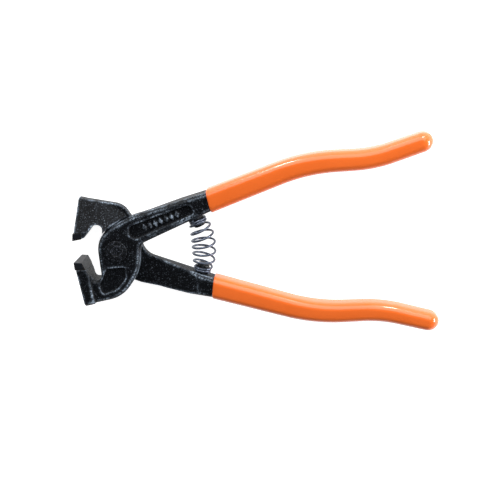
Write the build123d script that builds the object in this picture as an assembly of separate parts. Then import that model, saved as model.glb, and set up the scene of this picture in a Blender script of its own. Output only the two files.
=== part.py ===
"""Tile nippers: two forged levers lapped on a rivet, brazed carbide jaw tips, dipped grips
and a barrel spring between two pegs.

Millimetres. The handles run along +X and the jaws lie toward -X. Z runs along the pivot, whose
axis is X = Y = 0, and Z = 0 is the flat face of the rivet's head, level with the jaws' backs.
The upper handle and lower jaw are the front lever. The lower handle and upper jaw are the rear
lever. Each lever is drawn in its own frame, with its handle toward +Y, its jaw toward -Y, the
face that laps the other lever at Z = 0 and its outer face toward +Z. The rear one is turned over.
"""
from build123d import *
import os
from math import atan2, cos, degrees, hypot, pi, radians, sin, tan

# Widths along the pivot
JAW_WIDTH = 16.0
LEVER_THICK = 10.8
GRIP_THICK = 13.0
LAP_GAP = 0.1
JAW_HALF = JAW_WIDTH / 2
LEVER_HALF = LEVER_THICK / 2
LAP_Z = JAW_HALF

# Handle and grip, as (x, y) of the middle line's corners with the grip's half height there
GRIP_WALL = 1.2
HANDLE_LINE = [(54.5, 25.3, 6.6), (109.0, 43.35, 5.95), (145.8, 43.35, 5.5), (177.6, 52.7, 5.2)]
HANDLE_BEND = [100.0, 72.0]
MOUTH_SKEW = 0.15
GRIP_EDGE = 4.2
LOWER_GRIP_EARLY = 2.0
END_ROUND = 0.95
RAMP_START = 21.0
RAMP_END = 44.0

# Outlines of the two heads as (x, y, corner radius), from the crotch round the jaw to the hub
CROTCH = (14.3, 3.3)
FRONT_HEAD = [
    (*CROTCH, 4.5), (12.2, -12.6, 28.0), (0.6, -27.5, 20.0), (-21.1, -31.3, 0),
    (-23.8, -9.02, 0), (-18.15, -9.2, 0), (-15.8, -16.8, 2.7), (-10.3, -16.8, 2.7),
    (-10.8, 9.9, 16.0), (11.0, 19.8, 20.0),
]
REAR_HEAD = [
    (*CROTCH, 10.0), (13.2, -11.2, 20.0), (5.8, -25.2, 10.0), (-18.9, -30.8, 0),
    (-22.3, -12.33, 0), (-18.1, -12.51, 0), (-18.1, -9.2, 0), (-16.7, -9.4, 0),
    (-14.0, -12.5, 3.0), (-11.4, -15.9, 2.5), (-5.5, -16.0, 3.0), (-10.8, 9.9, 16.0),
    (11.0, 20.6, 20.0), (26.0, 24.5, 40.0),
]

# Carbide tips, each as nose, end of the land, inner foot and outer foot
FRONT_TIP = [(-24.45, -4.6), (-19.75, -5.0), (-18.15, -9.0), (-24.3, -8.8)]
REAR_TIP = [(-23.55, -8.05), (-18.35, -8.8), (-18.3, -12.3), (-22.95, -12.1)]

# Jaw faces: the raised cheek beside the crease, the inner face that falls to the lap toward both
# the hub and the heel, and the corner of the zone where a jaw may reach across the lap
CREASE_TOP = (-16.6, -16.5)
CREASE_FOOT = (-15.2, -33.0)
FALL_START = -16.0
FALL_RADIUS = 58.0
HEEL_FALL_START = -12.5
HEEL_Y = -30.5
FRONT_HEEL_BEVEL = 1.6
REAR_HEEL_BEVEL = 3.4
SHOULDER_GAP = 0.3
JAW_ZONE_CORNER = (7.0, -2.0, 0.0)

# Sunk panels in the outer face, as (x, y, corner radius)
PANEL_DEPTH = 1.3
RIM_BEVEL = 1.4
BEVEL_FROM = -13.0
HANDLE_PANEL = [(8.3, 5.0, 3.6), (8.3, 13.9, 3.6), (43.6, 24.8, 2.4), (46.6, 19.5, 2.0)]
JAW_PANEL = [
    (-6.6, -9.8, 0.8), (4.1, -9.6, 1.0), (3.6, -16.5, 6.0), (-2.0, -22.6, 6.0),
    (-10.6, -25.4, 2.2), (-12.2, -20.0, 2.2),
]

# Rivet and washer
RIVET_R = 3.6
RIVET_RUNNING_GAP = 0.06
HEAD_R = 6.0
WASHER_R = 6.1
WASHER_THICK = 0.7
WASHER_GAP = 0.05
HEAD_CHAMFER = 0.5
PEEN_R = 4.0
PEEN_THICK = 0.35
DIMPLE_R = 2.5
DIMPLE_DEPTH = 1.0

# Spring and pegs
PEG_R = 3.5
PEG_HEIGHT = 5.6
PEG_SINK = 0.3
PEG_CHAMFER = 1.0
PEG_SHANK_R = 2.2
PEG_SHANK = 5.0
SPRING_REACH = 49.1
WIRE_R = 0.55
COIL_END_R = 4.4
COIL_MIDDLE_R = 6.4
COIL_TURNS = 9.8
CLOSED_TURNS = 2.0
CLOSED_PITCH = 1.2
COIL_SEAT_GAP = 0.35
COIL_PHASE = 1.8 * pi
COIL_LEAN = radians(5.0)
BARREL = 0.4
POINTS_PER_TURN = 8

# Solids that only cut reach this far, past every edge of a lever
REACH = 200.0


def unit(a, b):
    """The unit direction from a to b."""
    length = hypot(b[0] - a[0], b[1] - a[1])
    return (b[0] - a[0]) / length, (b[1] - a[1]) / length


def outline(corners):
    """A flat face through the corners (x, y, radius), each rounded to its radius."""
    face = make_face(Polyline(*[(x, y) for x, y, r in corners], close=True)).face()
    for x, y, radius in corners:
        if radius:
            corner = face.vertices().sort_by_distance((x, y, 0))[0]
            face = face.fillet_2d(radius, [corner])
    return face


def ribbon(inset):
    """Upper and lower corners of the handle's outline, inset from the grip's outside."""
    upper, lower = [], []
    last = len(HANDLE_LINE) - 1
    for i, (x, y, half) in enumerate(HANDLE_LINE):
        before = HANDLE_LINE[max(i - 1, 0)]
        after = HANDLE_LINE[min(i + 1, last)]
        ax, ay = unit(before if i else HANDLE_LINE[0], HANDLE_LINE[1] if not i else (x, y))
        bx, by = unit((x, y), after) if i < last else (ax, ay)
        nx, ny = -(ay + by), ax + bx
        mitre = (half - inset) * 2 / (nx * nx + ny * ny)
        shift = inset if i == last else 0
        cx, cy = x - ax * shift, y - ay * shift
        bend = HANDLE_BEND[i - 1] if 0 < i < last else 0
        turn = 1 if i == 1 else -1
        end = (half - inset) * END_ROUND if i == last else 0
        skew = 0 if i else MOUTH_SKEW * (half - inset)
        up_x, up_y = nx * mitre + ax * skew, ny * mitre + ay * skew
        upper.append((cx + up_x, cy + up_y, bend + turn * half if bend else end))
        lower.append((cx - up_x, cy - up_y, bend - turn * half if bend else end))
    return upper, lower


def lever_outline(head):
    """The whole outline of a lever, head and handle, in its own frame."""
    upper, lower = ribbon(GRIP_WALL)
    return outline(upper + lower[::-1] + head)


def slab(face, low, high):
    """The face as a solid from height low to height high."""
    return extrude(Pos(0, 0, low) * face, high - low)


def half_plane(a, b):
    """A large rectangle on the left of the line from a to b."""
    dx, dy = unit(a, b)
    start = (a[0] - dx * REACH, a[1] - dy * REACH)
    end = (b[0] + dx * REACH, b[1] + dy * REACH)
    side = (-dy * REACH, dx * REACH)
    far = [(end[0] + side[0], end[1] + side[1]), (start[0] + side[0], start[1] + side[1])]
    return make_face(Polyline(start, end, *far, close=True)).face()


def handle_back():
    """The handle's lapped half: it ramps away from the lap beyond the hub."""
    lap = LAP_GAP / 2
    profile = [
        (RAMP_START, lap), (RAMP_END, -LEVER_HALF), (REACH, -LEVER_HALF),
        (REACH, LEVER_HALF), (RAMP_START, LEVER_HALF),
    ]
    wedge = Plane.XZ * make_face(Polyline(*profile, close=True)).face()
    return extrude(wedge, REACH, both=True)


def jaw_zone():
    """The part of the head that may reach past the lap, on the jaw's side of the pivot."""
    corner_at_origin = (Align.MAX, Align.MAX, Align.CENTER)
    return Pos(*JAW_ZONE_CORNER) * Box(REACH, REACH, JAW_WIDTH, align=corner_at_origin)


def inner_face_cut():
    """What the jaw's inner face gives away: it curves down to the hub and slopes to the heel."""
    start = (FALL_START, -JAW_HALF)
    fall = JernArc(start=start, tangent=(1, 0), radius=FALL_RADIUS, arc_size=90)
    corners = [(REACH, FALL_RADIUS), (REACH, -REACH), (-REACH, -REACH), (-REACH, -JAW_HALF)]
    profile = Plane.XZ * make_face([fall, Polyline(fall @ 1, *corners, start)]).face()
    profile = Pos(0, HEEL_FALL_START, 0) * profile
    slope = JAW_HALF / (HEEL_FALL_START - HEEL_Y)
    return extrude(profile, REACH, dir=(0, 1, 0)) + extrude(profile, REACH, dir=(0, -1, slope))


def peg_place():
    """Foot of a spring peg on the handle's inner edge, and its polar angle about the pivot."""
    ux, uy = unit(CROTCH, ribbon(GRIP_WALL)[1][0])
    along = CROTCH[0] * ux + CROTCH[1] * uy
    offset_squared = CROTCH[0] ** 2 + CROTCH[1] ** 2 - along ** 2
    reach = (SPRING_REACH ** 2 - offset_squared) ** 0.5 - along
    x, y = CROTCH[0] + ux * reach, CROTCH[1] + uy * reach
    return x, y, degrees(atan2(y, x))


def peg():
    """A spring peg in the lever's frame, with the shank that is pressed into the handle."""
    x, y, angle = peg_place()
    stub = Pos(0, 0, -PEG_SINK) * extrude(Circle(PEG_R), PEG_HEIGHT + PEG_SINK)
    stub = chamfer(stub.faces().sort_by(Axis.Z)[-1].edges(), PEG_CHAMFER)
    stub += Pos(0, 0, -PEG_SHANK) * extrude(Circle(PEG_SHANK_R), PEG_SHANK)
    return Pos(x, y, 0) * Rot(0, 0, angle) * Rot(90, 0, 0) * stub


def lever(head, other_head, bore_r, heel_bevel):
    """A forged lever in its own frame, bored for the rivet and for its peg."""
    shape = lever_outline(head)
    lap = LAP_GAP / 2
    plate = slab(shape, lap, LEVER_HALF)
    rim = [e for e in plate.faces().sort_by(Axis.Z)[-1].edges() if e.center().X > BEVEL_FROM]
    body = chamfer(rim, RIM_BEVEL)
    tang = slab(shape, -LEVER_HALF, lap)
    rim = [e for e in tang.faces().sort_by(Axis.Z)[0].edges() if e.center().X > BEVEL_FROM]
    tang = chamfer(rim, RIM_BEVEL)
    body += tang & handle_back()
    jaw_inner = slab(shape, -JAW_HALF, lap) & jaw_zone()
    keep_clear = offset(mirror(lever_outline(other_head), Plane.XZ), SHOULDER_GAP)
    jaw_inner -= slab(keep_clear, -JAW_HALF - 1, lap)
    body += jaw_inner - inner_face_cut()
    cheek = slab(shape, LEVER_HALF - RIM_BEVEL, JAW_HALF)
    cheek &= slab(half_plane(CREASE_FOOT, CREASE_TOP), -JAW_HALF, JAW_HALF)
    heel_edge = cheek.faces().sort_by(Axis.Z)[-1].edges().sort_by(Axis.Y)[0]
    body += chamfer(heel_edge, heel_bevel)
    for panel in (HANDLE_PANEL, JAW_PANEL):
        body -= slab(outline(panel), LEVER_HALF - PANEL_DEPTH, LEVER_HALF + 1)
    body -= slab(Circle(bore_r), -JAW_HALF, JAW_HALF)
    return body - peg()


def tip(corners):
    """A carbide tip, the full width of the jaw."""
    return slab(outline([(x, y, 0) for x, y in corners]), -JAW_HALF, JAW_HALF)


def braze(corners, seat):
    """The braze between a tip and its seat in the jaw."""
    land_end, inner_foot, outer_foot = corners[1:]
    around = [land_end] if len(seat) > 2 else []
    gap = [(x, y) for x, y, r in seat] + around + [inner_foot, outer_foot]
    return slab(outline([(x, y, 0) for x, y in gap]), -JAW_HALF, JAW_HALF)


def grip(body, early=0.0):
    """A dipped sleeve round a lever's tang, in its frame, its mouth early by so much."""
    upper, lower = ribbon(0)
    ux, uy = unit(HANDLE_LINE[0], HANDLE_LINE[1])
    for side in (upper, lower):
        x, y, radius = side[0]
        side[0] = (x - ux * early, y - uy * early, radius)
    sleeve = slab(outline(upper + lower[::-1]), -GRIP_THICK / 2, GRIP_THICK / 2)
    mouth = unit(lower[0], upper[0])
    start = lower[0][0] * mouth[1] - lower[0][1] * mouth[0]
    faces = sleeve.faces().sort_by(Axis.Z)
    long_edges = [
        e for e in faces[0].edges() + faces[-1].edges()
        if abs(e.center().X * mouth[1] - e.center().Y * mouth[0] - start) > 1
    ]
    return fillet(long_edges, GRIP_EDGE) - body


def rivet():
    """The pivot rivet: flat head behind, peened and dimpled end in front."""
    head_thick = LAP_Z - LEVER_HALF
    top = LAP_Z + LEVER_HALF + WASHER_GAP + WASHER_THICK
    head = extrude(Circle(HEAD_R), head_thick)
    head = chamfer(head.faces().sort_by(Axis.Z)[0].edges(), HEAD_CHAMFER)
    shank = slab(Circle(RIVET_R), head_thick, top)
    peen = slab(Circle(PEEN_R), top, top + PEEN_THICK)
    peen = fillet(peen.faces().sort_by(Axis.Z)[-1].edges(), PEEN_THICK * 0.8)
    dimple = Pos(0, 0, top + PEEN_THICK - DIMPLE_DEPTH / 2) * Cone(0.2, DIMPLE_R, DIMPLE_DEPTH)
    return head + shank + peen - dimple


def washer():
    """The washer under the rivet's peened end, which stays with the rivet."""
    low = LAP_Z + LEVER_HALF + WASHER_GAP
    disc = slab(Circle(WASHER_R), low, low + WASHER_THICK)
    disc = chamfer(disc.faces().sort_by(Axis.Z)[-1].edges(), WASHER_THICK * 0.6)
    return disc - slab(Circle(RIVET_R), low - 1, low + 2)


def coil_point(turn):
    """A point on the spring's wire, a right-hand helix about an arc centred on the pivot.

    The turns lean past the arc's own angle on their way to the middle.
    """
    end = radians(peg_place()[2]) - (WIRE_R + COIL_SEAT_GAP) / SPRING_REACH
    closed = CLOSED_TURNS * CLOSED_PITCH / SPRING_REACH
    open_turns = COIL_TURNS - 2 * CLOSED_TURNS
    share = min(max((turn - CLOSED_TURNS) / open_turns, 0.0), 1.0)
    ends = min(turn, CLOSED_TURNS) - min(COIL_TURNS - turn, CLOSED_TURNS)
    angle = ends * CLOSED_PITCH / SPRING_REACH + (2 * share - 1) * (end - closed)
    reach = COIL_END_R + (COIL_MIDDLE_R - COIL_END_R) * sin(pi * share) ** BARREL
    round_coil = 2 * pi * turn + COIL_PHASE
    reach /= cos(pi / POINTS_PER_TURN) ** 0.5
    lean = angle - COIL_LEAN * sin(2 * pi * share)
    x = SPRING_REACH * cos(angle) + reach * cos(round_coil) * cos(lean)
    y = SPRING_REACH * sin(angle) + reach * cos(round_coil) * sin(lean)
    return x, y, LAP_Z - reach * sin(round_coil)


def spring():
    """The return spring's wire, as short straights joined by tangent arcs."""
    steps = round(COIL_TURNS * POINTS_PER_TURN)
    points = [coil_point(i * COIL_TURNS / steps) for i in range(steps + 1)]
    runs = [(Vector(*b) - Vector(*a)) for a, b in zip(points, points[1:])]
    radii = [
        0.45 * min(a.length, b.length) / tan(radians(a.get_angle(b)) / 2)
        for a, b in zip(runs, runs[1:])
    ]
    path = FilletPolyline(*points, radius=radii)
    return sweep(Plane(origin=path @ 0, z_dir=path % 0) * Circle(WIRE_R), path=path)


def main():
    bore_r = RIVET_R + RIVET_RUNNING_GAP
    front = lever(FRONT_HEAD, REAR_HEAD, bore_r, FRONT_HEEL_BEVEL)
    rear = lever(REAR_HEAD, FRONT_HEAD, RIVET_R, REAR_HEEL_BEVEL)
    to_front = Pos(0, 0, LAP_Z)
    to_rear = Pos(0, 0, LAP_Z) * Rot(180, 0, 0)
    parts = {
        "front_lever": to_front * front,
        "upper_grip": to_front * grip(front),
        "upper_spring_peg": to_front * peg(),
        "lower_jaw_tip": to_front * tip(FRONT_TIP),
        "lower_tip_braze": to_front * braze(FRONT_TIP, FRONT_HEAD[4:6]),
        "rear_lever": to_rear * rear,
        "lower_grip": to_rear * grip(rear, LOWER_GRIP_EARLY),
        "lower_spring_peg": to_rear * peg(),
        "upper_jaw_tip": to_rear * tip(REAR_TIP),
        "upper_tip_braze": to_rear * braze(REAR_TIP, REAR_HEAD[4:7]),
        "pivot_rivet": rivet(),
        "rivet_washer": washer(),
        "return_spring": spring(),
    }
    os.makedirs("parts", exist_ok=True)
    for name, shape in parts.items():
        export_step(shape, f"parts/{name}.step")


if __name__ == "__main__":
    main()
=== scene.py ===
"""Looks of the tile nippers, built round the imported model.

Lengths are written in millimetres and turned to metres by MM. X runs along the handles away from
the jaws, Y toward the upper handle, and Z up along the pivot, whose axis is X = Y = 0. The tool
lies on Z = 0. The upper handle and lower jaw are the front lever, and the rear lever is the same
forging turned over, so both are dressed in one lever frame: lap face at Z = 0, handle toward +Y.
"""

import math

import bmesh
import bpy
import numpy as np
from mathutils import Matrix, Vector


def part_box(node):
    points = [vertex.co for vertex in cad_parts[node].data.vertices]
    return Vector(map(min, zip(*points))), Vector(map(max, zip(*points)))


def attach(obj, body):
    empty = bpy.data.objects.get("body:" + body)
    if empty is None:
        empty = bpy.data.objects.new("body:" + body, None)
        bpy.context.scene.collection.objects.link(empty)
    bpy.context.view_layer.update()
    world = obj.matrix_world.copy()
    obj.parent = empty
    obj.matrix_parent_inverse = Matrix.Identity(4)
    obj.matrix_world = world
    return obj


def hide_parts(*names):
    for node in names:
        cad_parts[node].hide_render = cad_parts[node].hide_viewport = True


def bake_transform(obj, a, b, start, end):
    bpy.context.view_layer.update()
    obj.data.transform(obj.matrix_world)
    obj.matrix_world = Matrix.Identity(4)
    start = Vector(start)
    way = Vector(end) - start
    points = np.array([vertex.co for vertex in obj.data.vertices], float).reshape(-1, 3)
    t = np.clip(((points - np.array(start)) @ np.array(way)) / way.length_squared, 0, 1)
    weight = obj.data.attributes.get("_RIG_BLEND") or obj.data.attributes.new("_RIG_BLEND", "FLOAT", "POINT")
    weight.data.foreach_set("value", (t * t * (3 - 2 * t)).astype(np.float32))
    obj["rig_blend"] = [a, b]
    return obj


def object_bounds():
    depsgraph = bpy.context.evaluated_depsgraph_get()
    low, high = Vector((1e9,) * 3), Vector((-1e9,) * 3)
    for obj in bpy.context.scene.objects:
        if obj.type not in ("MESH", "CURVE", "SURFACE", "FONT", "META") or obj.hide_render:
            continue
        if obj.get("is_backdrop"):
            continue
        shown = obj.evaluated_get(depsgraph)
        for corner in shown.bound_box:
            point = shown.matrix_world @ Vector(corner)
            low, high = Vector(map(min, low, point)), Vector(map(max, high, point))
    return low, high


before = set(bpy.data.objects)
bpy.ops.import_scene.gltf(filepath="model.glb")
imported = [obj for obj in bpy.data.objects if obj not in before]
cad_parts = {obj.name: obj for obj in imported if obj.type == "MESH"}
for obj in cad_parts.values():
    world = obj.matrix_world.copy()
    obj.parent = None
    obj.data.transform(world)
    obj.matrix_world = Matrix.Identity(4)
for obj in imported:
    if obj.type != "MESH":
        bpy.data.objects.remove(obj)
CAD_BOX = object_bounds()
MM = 0.001

# Camera: looks down on the tool, leaned toward the upper handle and swung a little to the grips
AIM = Vector((74.8, -4.7, 8.0)) * MM
CAMERA_DISTANCE = 599.1 * MM
CAMERA_LEAN = math.radians(17.0)
CAMERA_SWING = math.radians(6.4)
CAMERA_ROLL = math.radians(-4.78)
FIELD_OF_VIEW = math.radians(26.27)
NEAR_CLIP = 0.01

# Studio, in metres and watts: each lamp as name, place from the aim, width and height, power
DOME_STRENGTH = 0.1
HORIZON_BAND = (0.6, 0.15)
GLOW_SIDE = (0.75, 0.66, 0.0)
GLOW_RANGE = (0.1, 1.15)
SKY_TINT = (0.86, 0.93, 1, 1)
FLOOR_SIZE = 4.0
FLOOR_DROP = 0.05 * MM
FLOOR_SHADE = 0.5
FLOOR_GLOW = 0.95
LAMPS = [
    ("key", (0.2, 1.0, 0.95), (2.0, 1.3), 19.0),
    ("right_strip", (1.0, -0.1, 0.2), (0.4, 0.16), 9.0),
    ("top_strip", (-0.3, 0.85, 0.24), (0.12, 0.04), 3.0),
    ("near_strip", (0.18, 0.28, 0.11), (0.05, 0.015), 0.3),
    ("left_strip", (-0.7, 0.45, 0.35), (0.3, 0.1), 1.5),
]

# Lever frame
LAP_Z = 8.0
TURNED_OVER = Matrix.Rotation(math.pi, 4, "X")
FRONT = Matrix.Translation((0, 0, LAP_Z * MM))
REAR = FRONT @ TURNED_OVER

# Forged levers
FORGING_VOXEL = 0.36
FORGING_SMOOTHS = 3
SMOOTH_FACTOR = 0.5
WELD_REACH = 0.0005
# Proud edges: worn by rubbing, and lightened as painted rim highlights
RIM_WEAR_AND_HIGHLIGHT_SPREADS = 2
FULL_RIM_WEAR_AND_HIGHLIGHT = 0.055
PANEL_FLOOR = 4.1
PIP_HEIGHT = 0.75
PIP_SINK = 0.5
PIP_ROW = [(17.6, 12.7), (36.4, 19.3)]
PIP_COUNT = 7
PIP_SIZE = (1.15, 1.9)

# Grips, as (x, y) of the middle line's corners with the half height there
GRIP_LINE = [(54.5, 25.3, 6.6), (109.0, 43.35, 5.95), (145.8, 43.35, 5.5), (177.6, 52.7, 5.2)]
GRIP_BENDS = [0, 100.0, 72.0, 0]
GRIP_HALF_THICK = 6.5
GRIP_CORNER = 4.2
GRIP_WALL = 1.15
GRIP_STEP = 1.2
GRIP_AROUND = 64
LOWER_GRIP_EARLY = 2.0
MOUTH_SKEW = 0.15
MOUTH_FADE = 20.0
MOUTH_LIP = 0.8
LIP_STEPS = 5
END_DOME = 1.15
DOME_RINGS = 14
DOME_LAST = 13.4
DOME_CLEAR = 0.4

# Rivet, washer and pegs
RIVET_R = 3.6
WASHER_R = 6.1
WASHER_LOW = 13.45
WASHER_TOP = 14.15
PEEN_R = 4.0
PEEN_TOP = 14.5
HOLLOW_R = 2.9
HOLLOW_DEPTH = 0.6
HEAD_R = 6.0
HEAD_TOP = 2.6
PEG_R = 3.5
PEG_HEIGHT = 5.6
PEG_SINK = 0.3
PEG_SHANK_R = 2.2
PEG_SHANK = 5.0
AXIS_R = 0.01
LATHE_STEPS = 96
LATHE_STEP = 0.12

# Carbide tips, each as nose, end of the land, inner foot and outer foot
JAW_HALF = 8.0
FRONT_TIP = [(-24.45, -4.6), (-19.75, -5.0), (-18.15, -9.0), (-24.3, -8.8)]
REAR_TIP = [(-23.55, -8.05), (-18.35, -8.8), (-18.3, -12.3), (-22.95, -12.1)]
TIP_EDGE = 0.2
TIP_EDGE_STEPS = 3
NOSE_BACK = 1.0

# Spring
SPRING_REACH = 49.1
PEG_FOOT_ANGLE = math.radians(19.32)
WIRE_R = 0.63
COIL_END_R = 4.4
COIL_MIDDLE_R = 6.4
COIL_TURNS = 9.8
CLOSED_TURNS = 2.0
CLOSED_PITCH = 1.2
COIL_SEAT_GAP = 0.35
COIL_PHASE = 1.8 * math.pi
COIL_LEAN = math.radians(5.0)
BARREL = 0.4
WIRE_STEPS = 40
WIRE_AROUND = 14


# ---------------------------------------------------------------- mesh helpers

def new_piece(name, mesh, body, slot, *nodes):
    """A new object for the mesh, riding on a body in place of CAD nodes."""
    piece = bpy.data.objects.new(name, mesh)
    bpy.context.scene.collection.objects.link(piece)
    if body:
        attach(piece, body)
    if nodes:
        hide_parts(*nodes)
    return piece


def mesh_from(name, points, faces, place=Matrix.Identity(4)):
    """A mesh from points in millimetres, put in place and with its faces turned outward."""
    mesh = bpy.data.meshes.new(name)
    mesh.from_pydata([place @ (Vector(p) * MM) for p in points], [], faces)
    shape = bmesh.new()
    shape.from_mesh(mesh)
    bmesh.ops.recalc_face_normals(shape, faces=shape.faces)
    shape.to_mesh(mesh)
    shape.free()
    mesh.shade_smooth()
    return mesh


def tube_faces(rings, around, closed_ends=True):
    """Quads that join rings of points, and one many-sided face on each end."""
    faces = []
    for i in range(rings - 1):
        for j in range(around):
            k = (j + 1) % around
            here, above = i * around, (i + 1) * around
            faces.append((here + j, here + k, above + k, above + j))
    if closed_ends:
        faces.append(tuple(range(around))[::-1])
        faces.append(tuple((rings - 1) * around + j for j in range(around)))
    return faces


def lathe(name, profile, place=Matrix.Identity(4)):
    """A turned solid: the (radius, height) profile swept round Z."""
    points = []
    for radius, height in profile:
        for j in range(LATHE_STEPS):
            turn = 2 * math.pi * j / LATHE_STEPS
            points.append((radius * math.cos(turn), radius * math.sin(turn), height))
    return mesh_from(name, points, tube_faces(len(profile), LATHE_STEPS), place)


def rounded(corners, step):
    """The path through the corners (x, y, radius), each cut to an arc with points a step apart."""
    made = []
    for i, (x, y, radius) in enumerate(corners):
        here = Vector((x, y))
        if radius == 0:
            made.append(here)
            continue
        back = (Vector(corners[i - 1][:2]) - here).normalized()
        ahead = (Vector(corners[i + 1][:2]) - here).normalized()
        half = back.angle(ahead) / 2
        centre = here + (back + ahead).normalized() * (radius / math.sin(half))
        start = here + back * (radius / math.tan(half)) - centre
        end = here + ahead * (radius / math.tan(half)) - centre
        steps = max(3, round(start.angle(end) * radius / step))
        made += [centre + start.slerp(end, k / steps) * radius for k in range(steps + 1)]
    return made


def modified(piece, kind, **settings):
    """The piece with one modifier applied to its mesh."""
    modifier = piece.modifiers.new(kind, kind)
    for name, value in settings.items():
        setattr(modifier, name, value)
    shown = piece.evaluated_get(bpy.context.evaluated_depsgraph_get())
    mesh = bpy.data.meshes.new_from_object(shown)
    piece.modifiers.clear()
    piece.data = mesh
    return piece


def coords(mesh):
    """The mesh's vertices as an array, in metres."""
    flat = np.zeros(len(mesh.vertices) * 3)
    mesh.vertices.foreach_get("co", flat)
    return flat.reshape(-1, 3)


def set_coords(mesh, points):
    mesh.vertices.foreach_set("co", points.ravel())
    mesh.update()


def cad_copy(node, name):
    """A new mesh with the CAD node's shape, its split corners joined up."""
    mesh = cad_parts[node].data.copy()
    mesh.name = name
    shape = bmesh.new()
    shape.from_mesh(mesh)
    bmesh.ops.remove_doubles(shape, verts=shape.verts, dist=WELD_REACH * MM)
    shape.to_mesh(mesh)
    shape.free()
    mesh.materials.clear()
    return mesh


# ---------------------------------------------------------------- materials

def material(name, **values):
    """A material with a Principled shader, its constant sockets set directly."""
    made = bpy.data.materials.new(name)
    made.use_nodes = True
    shader = made.node_tree.nodes["Principled BSDF"]
    for socket, value in values.items():
        shader.inputs[socket.replace("_", " ")].default_value = value
    return made, made.node_tree, shader


def node(tree, kind, inputs=None, **settings):
    """A new node. An input is set to a number or colour, or linked from another node's output."""
    made = tree.nodes.new("ShaderNode" + kind)
    for name, value in settings.items():
        setattr(made, name, value)
    for name, value in (inputs or {}).items():
        if isinstance(value, bpy.types.NodeSocket):
            tree.links.new(value, made.inputs[name])
        else:
            made.inputs[name].default_value = value
    return made


def millimetres(tree, stretch=(1, 1, 1)):
    """Object coordinates in millimetres, stretched along the axes."""
    place = node(tree, "TexCoord").outputs["Object"]
    scale = [s / MM for s in stretch]
    return node(tree, "Mapping", {"Vector": place, "Scale": scale}).outputs["Vector"]


def noise(tree, where, size, detail=3.0, rough=0.5):
    """Noise between 0 and 1 whose features are about size mm across."""
    inputs = {"Vector": where, "Scale": 1 / size, "Detail": detail, "Roughness": rough}
    return node(tree, "TexNoise", inputs).outputs["Fac"]


def remap(tree, value, low, high, to_low=0.0, to_high=1.0):
    inputs = {"Value": value, "From Min": low, "From Max": high}
    inputs |= {"To Min": to_low, "To Max": to_high}
    return node(tree, "MapRange", inputs).outputs["Result"]


def math_node(tree, operation, a, b):
    return node(tree, "Math", {0: a, 1: b}, operation=operation).outputs[0]


def mix_colour(tree, share, a, b):
    """A blend of two colours. The mix node's sockets share names, so they go by number."""
    made = node(tree, "Mix", data_type="RGBA")
    for index, value in ((0, share), (6, a), (7, b)):
        if isinstance(value, bpy.types.NodeSocket):
            tree.links.new(value, made.inputs[index])
        else:
            made.inputs[index].default_value = value
    return made.outputs[2]


def bump(tree, height, depth, strength=1.0, below=None):
    """A bump of the given depth in mm, on top of another one."""
    inputs = {"Height": height, "Distance": depth * MM, "Strength": strength}
    if below:
        inputs["Normal"] = below
    return node(tree, "Bump", inputs).outputs["Normal"]


def forged_steel():
    """Black oxide over a blasted forging: fine grain, pale speckle painted in as the glints of the grain,
    and patchily worn edges lightened further as painted rim highlights.
    """
    made, tree, shader = material("forged_steel", Specular_IOR_Level=0.14, IOR=1.45)
    where = millimetres(tree)
    grain = noise(tree, where, 0.9, 4.0, 0.65)
    speck_glints = remap(tree, noise(tree, where, 0.55, 1.0, 0.5), 0.62, 0.78)
    patches = noise(tree, where, 7.0, 3.0)
    rim_wear_and_highlight = node(tree, "Attribute", attribute_name="rim_wear_and_highlight").outputs["Fac"]
    patchy_wear_and_highlight = math_node(tree, "MULTIPLY", rim_wear_and_highlight, remap(tree, patches, 0.42, 0.62, 0.1, 1.0))
    rubbed_and_rim_lit = math_node(tree, "MULTIPLY", patchy_wear_and_highlight, remap(tree, grain, 0.42, 0.58, 0.0, 1.0))
    dark = mix_colour(tree, patches, (0.0012, 0.0014, 0.002, 1), (0.004, 0.0046, 0.006, 1))
    # Pale speckle painted in as the glints of the blasted grain
    speckled = mix_colour(tree, speck_glints, dark, (0.13, 0.15, 0.18, 1))
    # Proud edges lightened to pale blue: worn by rubbing, and painted rim highlights
    colour = mix_colour(tree, rubbed_and_rim_lit, speckled, (0.34, 0.41, 0.5, 1))
    tree.links.new(colour, shader.inputs["Base Color"])
    tree.links.new(remap(tree, grain, 0.3, 0.7, 0.26, 0.5), shader.inputs["Roughness"])
    coarse = bump(tree, noise(tree, where, 2.5, 3.0), 0.14)
    tree.links.new(bump(tree, grain, 0.3, 1.0, coarse), shader.inputs["Normal"])
    return made


def grip_vinyl():
    """Dipped vinyl: glossy orange, a little uneven from the dip."""
    made, tree, shader = material("grip_vinyl", Coat_Weight=0.5, Coat_Roughness=0.07, IOR=1.5)
    where = millimetres(tree)
    broad = noise(tree, where, 22.0, 2.0)
    film = noise(tree, where, 6.0, 2.0)
    colour = mix_colour(tree, broad, (0.8, 0.135, 0.015, 1), (0.87, 0.16, 0.024, 1))
    tree.links.new(colour, shader.inputs["Base Color"])
    tree.links.new(remap(tree, film, 0.3, 0.7, 0.2, 0.24), shader.inputs["Roughness"])
    tree.links.new(bump(tree, broad, 0.25, 0.4), shader.inputs["Normal"])
    return made


def ground_carbide():
    """Ground carbide: dark grey with fine grinding lines across the jaw."""
    made, tree, shader = material("ground_carbide", Metallic=0.4, Specular_IOR_Level=0.25)
    lines = noise(tree, millimetres(tree, (1, 1, 0.06)), 0.18, 2.0)
    tint = noise(tree, millimetres(tree), 3.5, 3.0)
    grey = mix_colour(tree, lines, (0.005, 0.006, 0.0085, 1), (0.018, 0.021, 0.027, 1))
    colour = mix_colour(tree, remap(tree, tint, 0.45, 0.7), grey, (0.017, 0.0155, 0.015, 1))
    tree.links.new(colour, shader.inputs["Base Color"])
    tree.links.new(remap(tree, lines, 0.3, 0.7, 0.3, 0.5), shader.inputs["Roughness"])
    tree.links.new(bump(tree, lines, 0.03), shader.inputs["Normal"])
    return made


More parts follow.
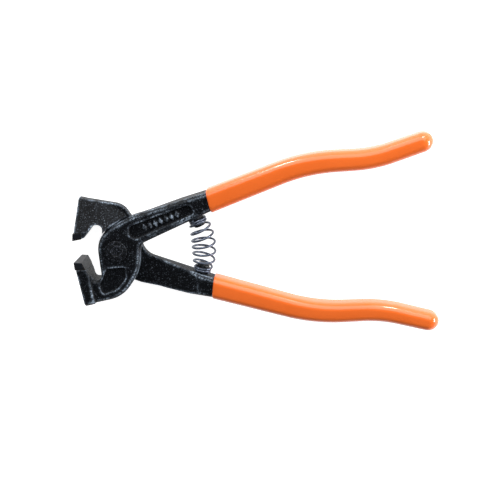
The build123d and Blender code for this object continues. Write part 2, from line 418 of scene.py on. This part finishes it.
def silver_braze():
    """Braze fillet, darkened by the flame."""
    made, tree, shader = material("silver_braze", Metallic=0.9)
    blotch = noise(tree, millimetres(tree), 0.9, 4.0)
    colour = mix_colour(tree, blotch, (0.02, 0.018, 0.015, 1), (0.1, 0.085, 0.06, 1))
    tree.links.new(colour, shader.inputs["Base Color"])
    tree.links.new(remap(tree, blotch, 0.3, 0.7, 0.3, 0.6), shader.inputs["Roughness"])
    tree.links.new(bump(tree, blotch, 0.06), shader.inputs["Normal"])
    return made


def rivet_steel():
    """Oiled black steel with hammer marks and pale speckle painted in as the glints of its grain."""
    made, tree, shader = material("rivet_steel", Specular_IOR_Level=0.2, IOR=1.5)
    where = millimetres(tree)
    grain = noise(tree, where, 0.5, 4.0, 0.6)
    dents = noise(tree, where, 1.7, 2.0)
    speck_glints = remap(tree, noise(tree, where, 0.55, 1.0, 0.5), 0.6, 0.76)
    dark = mix_colour(tree, grain, (0.001, 0.0011, 0.0015, 1), (0.006, 0.0068, 0.008, 1))
    # Pale speckle painted in as the glints of the grain
    colour = mix_colour(tree, speck_glints, dark, (0.16, 0.18, 0.22, 1))
    tree.links.new(colour, shader.inputs["Base Color"])
    tree.links.new(remap(tree, grain, 0.3, 0.7, 0.22, 0.45), shader.inputs["Roughness"])
    coarse = bump(tree, dents, 0.25)
    tree.links.new(bump(tree, grain, 0.05, 1.0, coarse), shader.inputs["Normal"])
    return made


def spring_steel():
    """Blued spring wire with faint drawing marks."""
    made, tree, shader = material("spring_steel", Metallic=0.7)
    where = millimetres(tree)
    film = noise(tree, where, 2.4, 3.0)
    colour = mix_colour(tree, film, (0.04, 0.05, 0.07, 1), (0.13, 0.15, 0.2, 1))
    tree.links.new(colour, shader.inputs["Base Color"])
    tree.links.new(remap(tree, film, 0.3, 0.7, 0.22, 0.4), shader.inputs["Roughness"])
    tree.links.new(bump(tree, noise(tree, where, 0.3, 2.0), 0.01), shader.inputs["Normal"])
    return made


# ---------------------------------------------------------------- levers

def pip_points():
    """The raised diamond pips along the handle's sunk panel, in the lever frame."""
    start, end = Vector(PIP_ROW[0]), Vector(PIP_ROW[1])
    along = (end - start).normalized()
    across = Vector((-along.y, along.x))
    for i in range(PIP_COUNT):
        middle = start.lerp(end, i / (PIP_COUNT - 1))
        rim = [middle + along * PIP_SIZE[0], middle + across * PIP_SIZE[1]]
        rim += [middle - along * PIP_SIZE[0], middle - across * PIP_SIZE[1]]
        yield rim


def add_pips(mesh, place):
    """Joins the raised pips to a lever's mesh, sunk a little into the panel's floor."""
    shape = bmesh.new()
    shape.from_mesh(mesh)
    for rim in pip_points():
        rings = []
        for height in (PANEL_FLOOR - PIP_SINK, PANEL_FLOOR + PIP_HEIGHT):
            corners = [place @ (Vector((p.x, p.y, height)) * MM) for p in rim]
            rings.append([shape.verts.new(corner) for corner in corners])
        shape.faces.new(rings[0][::-1])
        shape.faces.new(rings[1])
        for i in range(4):
            k = (i + 1) % 4
            shape.faces.new((rings[0][i], rings[0][k], rings[1][k], rings[1][i]))
    shape.to_mesh(mesh)
    shape.free()


def edge_wear_and_highlight(mesh):
    """Stores how far each vertex stands out from its neighbours, from 0 to 1, for the worn edges and the
    painted rim highlights.
    """
    points = coords(mesh)
    ends = np.zeros(len(mesh.edges) * 2, np.int32)
    mesh.edges.foreach_get("vertices", ends)
    a, b = ends[0::2], ends[1::2]
    total = np.zeros_like(points)
    count = np.zeros(len(points))
    for one, other in ((a, b), (b, a)):
        np.add.at(total, one, points[other])
        np.add.at(count, one, 1)
    normals = np.zeros(len(points) * 3)
    mesh.vertices.foreach_get("normal", normals)
    hollow = total / np.maximum(count, 1)[:, None] - points
    proud = -(hollow * normals.reshape(-1, 3)).sum(1) / (FORGING_VOXEL * MM)
    for _ in range(RIM_WEAR_AND_HIGHLIGHT_SPREADS):
        spread = np.zeros(len(points))
        for one, other in ((a, b), (b, a)):
            np.add.at(spread, one, proud[other])
        proud = (proud + spread) / (1 + count)
    rim_wear_and_highlight = mesh.attributes.new("rim_wear_and_highlight", "FLOAT", "POINT")
    rim_wear_and_highlight.data.foreach_set("value", np.clip(proud / FULL_RIM_WEAR_AND_HIGHLIGHT, 0, 1).astype(np.float32))


def forging(node_name, body, place, look):
    """A lever as forged: the CAD shape and the pips, meshed evenly with softened edges."""
    name = node_name + "_forging"
    mesh = cad_copy(node_name, name)
    add_pips(mesh, place)
    piece = new_piece(name, mesh, body, "forged_steel", node_name)
    modified(piece, "REMESH", mode="VOXEL", voxel_size=FORGING_VOXEL * MM)
    modified(piece, "SMOOTH", factor=SMOOTH_FACTOR, iterations=FORGING_SMOOTHS)
    points = coords(piece.data)
    low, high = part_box(node_name)
    set_coords(piece.data, np.clip(points, np.array(low), np.array(high)))
    # Proud edges, stored for the worn look and the painted rim highlights
    edge_wear_and_highlight(piece.data)
    piece.data.shade_smooth()
    piece.data.materials.append(look)
    return piece


# ---------------------------------------------------------------- grips

def grip_stations(early):
    """Points along a grip's middle line, each with its direction, half height and run so far."""
    line = rounded([(x, y, bend) for (x, y, half), bend in zip(GRIP_LINE, GRIP_BENDS)], GRIP_STEP)
    line[0] = line[0] - (line[1] - line[0]).normalized() * early
    dense = [line[0]]
    for a, b in zip(line, line[1:]):
        steps = max(1, round((b - a).length / GRIP_STEP))
        dense += [a.lerp(b, k / steps) for k in range(1, steps + 1)]
    marks_x = [p[0] for p in GRIP_LINE]
    marks_half = [p[2] for p in GRIP_LINE]
    stations, run = [], 0.0
    for i, p in enumerate(dense):
        before, after = dense[max(i - 1, 0)], dense[min(i + 1, len(dense) - 1)]
        run += (p - before).length
        half = float(np.interp(p.x, marks_x, marks_half))
        stations.append((p, (after - before).normalized(), half, run))
    return stations


def ring(centre, ahead, half, thick, corner, skew=0.0):
    """A rounded-rectangle section across the line at centre, its outer side skewed ahead."""
    across = Vector((-ahead.y, ahead.x))
    corner = min(corner, half, thick)
    points = []
    for j in range(GRIP_AROUND):
        turn = 2 * math.pi * (j + 0.5) / GRIP_AROUND
        c, s = math.cos(turn), math.sin(turn)
        u = math.copysign(half - corner, c) + corner * c
        w = math.copysign(thick - corner, s) + corner * s
        side = centre + across * u + ahead * (u * skew)
        points.append((side.x, side.y, w))
    return points


def grip_ring(centre, ahead, half, inset, skew):
    """A section of the grip's straight run, inset from its outside."""
    return ring(centre, ahead, half - inset, GRIP_HALF_THICK - inset, GRIP_CORNER - inset, skew)


def grip_skin(stations, inset):
    """Rings of a grip's skin, inset from its outside, from the mouth to its round end."""
    last, ahead, half, length = stations[-1]
    dome = half * END_DOME
    rows = []
    for p, along, wide, run in stations:
        if length - run > dome + DOME_CLEAR:
            half = wide
            skew = MOUTH_SKEW * max(0.0, 1 - run / MOUTH_FADE)
            rows.append(grip_ring(p, along, wide, inset, skew))
    for k in range(DOME_RINGS):
        turn = math.pi / 2 * k / DOME_LAST
        reach = math.cos(turn)
        centre = last + ahead * ((dome - inset) * math.sin(turn) - dome)
        tall, deep = (half - inset) * reach, (GRIP_HALF_THICK - inset) * reach
        corner = (GRIP_CORNER - inset) * reach
        corner += (min(tall, deep) - corner) * math.sin(turn)
        rows.append(ring(centre, ahead, tall, deep, corner))
    return rows


def grip(name, node_name, body, place, look, early=0.0):
    """A dipped sleeve: outer skin with a round end and a rolled mouth, and its hollow inside."""
    stations = grip_stations(early)
    mouth, ahead, half, _ = stations[0]
    lip = []
    for k in range(LIP_STEPS):
        turn = math.pi / 2 * k / LIP_STEPS
        inset = MOUTH_LIP * (1 - math.sin(turn))
        centre = mouth + ahead * (MOUTH_LIP * (1 - math.cos(turn)))
        lip.append(grip_ring(centre, ahead, half, inset, MOUTH_SKEW))
    rings = grip_skin(stations, GRIP_WALL)[::-1] + lip + grip_skin(stations, 0.0)[1:]
    points = [p for row in rings for p in row]
    mesh = mesh_from(name, points, tube_faces(len(rings), GRIP_AROUND), place)
    piece = new_piece(name, mesh, body, "grip_vinyl", node_name)
    mesh.materials.append(look)
    return piece


# ---------------------------------------------------------------- rivet, pegs, spring

def turned(name, node_name, body, slot, corners, look, place=Matrix.Identity(4)):
    """A lathe-made piece from the corners (radius, height, rounding) of its profile."""
    piece = new_piece(name, lathe(name, rounded(corners, LATHE_STEP), place), body, slot, node_name)
    piece.data.materials.append(look)
    return piece


def rivet(look):
    """The rivet, from its flat head to the peened end with its shallow hammered hollow."""
    return turned("pivot_rivet_peened", "pivot_rivet", "rear_lever", "rivet_steel", [
        (AXIS_R, 0.0, 0), (HEAD_R, 0.0, 0.45), (HEAD_R, HEAD_TOP, 0.1), (RIVET_R, HEAD_TOP, 0.1),
        (RIVET_R, WASHER_TOP, 0.03), (PEEN_R, WASHER_TOP, 0.03), (PEEN_R, PEEN_TOP, 0.3),
        (HOLLOW_R, PEEN_TOP, 0.3), (HOLLOW_R * 0.55, PEEN_TOP - HOLLOW_DEPTH, 1.0),
        (AXIS_R, PEEN_TOP - HOLLOW_DEPTH, 0),
    ], look)


def washer(look):
    """The washer under the peened end, its outer edge well rounded."""
    return turned("rivet_washer_domed", "rivet_washer", "rear_lever", "rivet_steel", [
        (RIVET_R, WASHER_LOW, 0), (WASHER_R, WASHER_LOW, 0.1), (WASHER_R, WASHER_TOP - 0.1, 0.3),
        (WASHER_R - 1.1, WASHER_TOP, 0.8), (RIVET_R, WASHER_TOP, 0),
    ], look)


def peg(name, node_name, body, place, look):
    """A spring peg: a stub with a rounded nose and the shank that is pressed into the handle."""
    angle = PEG_FOOT_ANGLE
    foot = Vector((math.cos(angle), math.sin(angle), 0)) * SPRING_REACH * MM
    tilt = Matrix.Rotation(angle, 4, "Z") @ Matrix.Rotation(math.pi / 2, 4, "X")
    stands = Matrix.Translation(foot) @ tilt
    return turned(name, node_name, body, "rivet_steel", [
        (AXIS_R, -PEG_SHANK, 0), (PEG_SHANK_R, -PEG_SHANK, 0.2), (PEG_SHANK_R, -PEG_SINK, 0.05),
        (PEG_R, -PEG_SINK, 0.05), (PEG_R, PEG_HEIGHT, 1.1), (AXIS_R, PEG_HEIGHT, 0),
    ], look, place @ stands)


def tip(name, node_name, body, corners, place, look, back_nose=0.0):
    """A ground carbide tip as wide as the jaw, its nose set back by back_nose at the rear end."""
    points = [(x, y, side * JAW_HALF) for side in (-1, 1) for x, y in corners]
    points[0] = (corners[0][0] + back_nose, corners[0][1], -JAW_HALF)
    mesh = mesh_from(name, points, tube_faces(2, len(corners)), place)
    piece = new_piece(name, mesh, body, "carbide", node_name)
    modified(piece, "BEVEL", width=TIP_EDGE * MM, segments=TIP_EDGE_STEPS, limit_method="NONE")
    piece.data.shade_flat()
    piece.data.materials.append(look)
    return piece


def coil_point(turn):
    """A point on the spring's wire, the turn's middle, and its polar angle about the pivot."""
    end = PEG_FOOT_ANGLE - (WIRE_R + COIL_SEAT_GAP) / SPRING_REACH
    closed = CLOSED_TURNS * CLOSED_PITCH / SPRING_REACH
    share = min(max((turn - CLOSED_TURNS) / (COIL_TURNS - 2 * CLOSED_TURNS), 0.0), 1.0)
    ends = min(turn, CLOSED_TURNS) - min(COIL_TURNS - turn, CLOSED_TURNS)
    angle = ends * CLOSED_PITCH / SPRING_REACH + (2 * share - 1) * (end - closed)
    reach = COIL_END_R + (COIL_MIDDLE_R - COIL_END_R) * math.sin(math.pi * share) ** BARREL
    coil = 2 * math.pi * turn + COIL_PHASE
    lean = angle - COIL_LEAN * math.sin(2 * math.pi * share)
    hub = Vector((math.cos(angle), math.sin(angle), 0)) * SPRING_REACH + Vector((0, 0, LAP_Z))
    out = Vector((math.cos(lean), math.sin(lean), 0)) * math.cos(coil)
    out -= Vector((0, 0, math.sin(coil)))
    return hub + out * reach, hub, angle


def spring(look):
    """The barrel spring: a smooth wire whose turns close up as the handles close."""
    steps = round(COIL_TURNS * WIRE_STEPS)
    line = [coil_point(COIL_TURNS * i / steps) for i in range(steps + 1)]
    points, weights = [], []
    for i, (p, hub, angle) in enumerate(line):
        ahead = (line[min(i + 1, steps)][0] - line[max(i - 1, 0)][0]).normalized()
        out = (p - hub).normalized()
        out = (out - ahead * out.dot(ahead)).normalized()
        side = ahead.cross(out)
        for j in range(WIRE_AROUND):
            turn = 2 * math.pi * j / WIRE_AROUND
            points.append(p + (out * math.cos(turn) + side * math.sin(turn)) * WIRE_R)
            weights.append(0.5 + angle / (2 * PEG_FOOT_ANGLE))
    mesh = mesh_from("return_spring_wire", points, tube_faces(steps + 1, WIRE_AROUND))
    mesh.materials.append(look)
    piece = new_piece("return_spring_wire", mesh, None, "spring_steel", "return_spring")
    foot = SPRING_REACH * MM * math.sin(PEG_FOOT_ANGLE)
    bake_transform(piece, "rear_lever", "front_lever", start=(0, -foot, 0), end=(0, foot, 0))
    mesh.attributes["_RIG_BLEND"].data.foreach_set("value", np.array(weights, np.float32))
    return piece


# ---------------------------------------------------------------- studio

def surroundings():
    """A dim dome whose horizon glows, most of all to the right and beyond the upper handle."""
    world = bpy.data.worlds.new("surroundings")
    world.use_nodes = True
    tree = world.node_tree
    toward = node(tree, "TexCoord").outputs["Generated"]
    height = node(tree, "SeparateXYZ", {"Vector": toward}).outputs["Z"]
    low = remap(tree, height, *HORIZON_BAND)
    facing = node(tree, "VectorMath", {0: toward, 1: GLOW_SIDE}, operation="DOT_PRODUCT")
    glow = remap(tree, facing.outputs["Value"], -1.0, 1.0, *GLOW_RANGE)
    lift = math_node(tree, "MULTIPLY", low, glow)
    strength = math_node(tree, "ADD", lift, DOME_STRENGTH)
    tree.links.new(strength, tree.nodes["Background"].inputs["Strength"])
    tree.nodes["Background"].inputs["Color"].default_value = SKY_TINT
    bpy.context.scene.world = world


def floor():
    """A pale card that glows white, like a light table."""
    bpy.ops.mesh.primitive_plane_add(size=FLOOR_SIZE, location=(AIM.x, AIM.y, -FLOOR_DROP))
    card = bpy.context.object
    card.name = "floor"
    made, tree, shader = material("floor_card", Roughness=0.9, Emission_Strength=FLOOR_GLOW)
    shader.inputs["Base Color"].default_value = (FLOOR_SHADE, FLOOR_SHADE, FLOOR_SHADE, 1)
    shader.inputs["Emission Color"].default_value = (1, 1, 1, 1)
    card.data.materials.append(made)
    card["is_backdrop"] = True


def lamps():
    """The soft boxes, all aimed at the tool."""
    for name, offset, size, power in LAMPS:
        light = bpy.data.lights.new(name, "AREA")
        light.shape = "RECTANGLE"
        light.size, light.size_y = size
        light.energy = power
        lamp = bpy.data.objects.new(name, light)
        lamp.location = AIM + Vector(offset)
        lamp.rotation_euler = (AIM - lamp.location).to_track_quat("-Z", "Y").to_euler()
        bpy.context.scene.collection.objects.link(lamp)


def camera():
    """The camera, leaned and swung about the aim and rolled about its own line of sight."""
    back = Vector((
        math.sin(CAMERA_SWING) * math.cos(CAMERA_LEAN), math.sin(CAMERA_LEAN),
        math.cos(CAMERA_SWING) * math.cos(CAMERA_LEAN),
    ))
    right = Vector((0, 1, 0)).cross(back).normalized()
    turn = Matrix.Rotation(CAMERA_ROLL, 3, back)
    right = turn @ right
    up = back.cross(right)
    lens = bpy.data.cameras.new("camera")
    lens.angle = FIELD_OF_VIEW
    lens.clip_start = NEAR_CLIP
    eye = bpy.data.objects.new("camera", lens)
    axes = Matrix((right, up, back)).transposed().to_4x4()
    eye.matrix_world = Matrix.Translation(AIM + back * CAMERA_DISTANCE) @ axes
    bpy.context.scene.collection.objects.link(eye)
    bpy.context.scene.camera = eye


bpy.context.scene.view_settings.view_transform = "Standard"
camera()
surroundings()
floor()
lamps()
steel, vinyl = forged_steel(), grip_vinyl()
carbide, braze = ground_carbide(), silver_braze()
dark_steel, wire = rivet_steel(), spring_steel()
forging("front_lever", "front_lever", FRONT, steel)
forging("rear_lever", "rear_lever", REAR, steel)
grip("upper_grip_sleeve", "upper_grip", "front_lever", FRONT, vinyl)
grip("lower_grip_sleeve", "lower_grip", "rear_lever", REAR, vinyl, LOWER_GRIP_EARLY)
rivet(dark_steel)
washer(dark_steel)
peg("upper_peg_turned", "upper_spring_peg", "front_lever", FRONT, dark_steel)
peg("lower_peg_turned", "lower_spring_peg", "rear_lever", REAR, dark_steel)
tip("lower_tip_ground", "lower_jaw_tip", "front_lever", FRONT_TIP, FRONT, carbide, NOSE_BACK)
tip("upper_tip_ground", "upper_jaw_tip", "rear_lever", REAR_TIP, REAR, carbide)
spring(wire)
for name in ("lower_tip_braze", "upper_tip_braze"):
    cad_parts[name].data.materials.clear()
    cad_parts[name].data.materials.append(braze)

sizes = {"cad": CAD_BOX, "visual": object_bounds()}
{key: [list(corner) for corner in box] for key, box in sizes.items()}
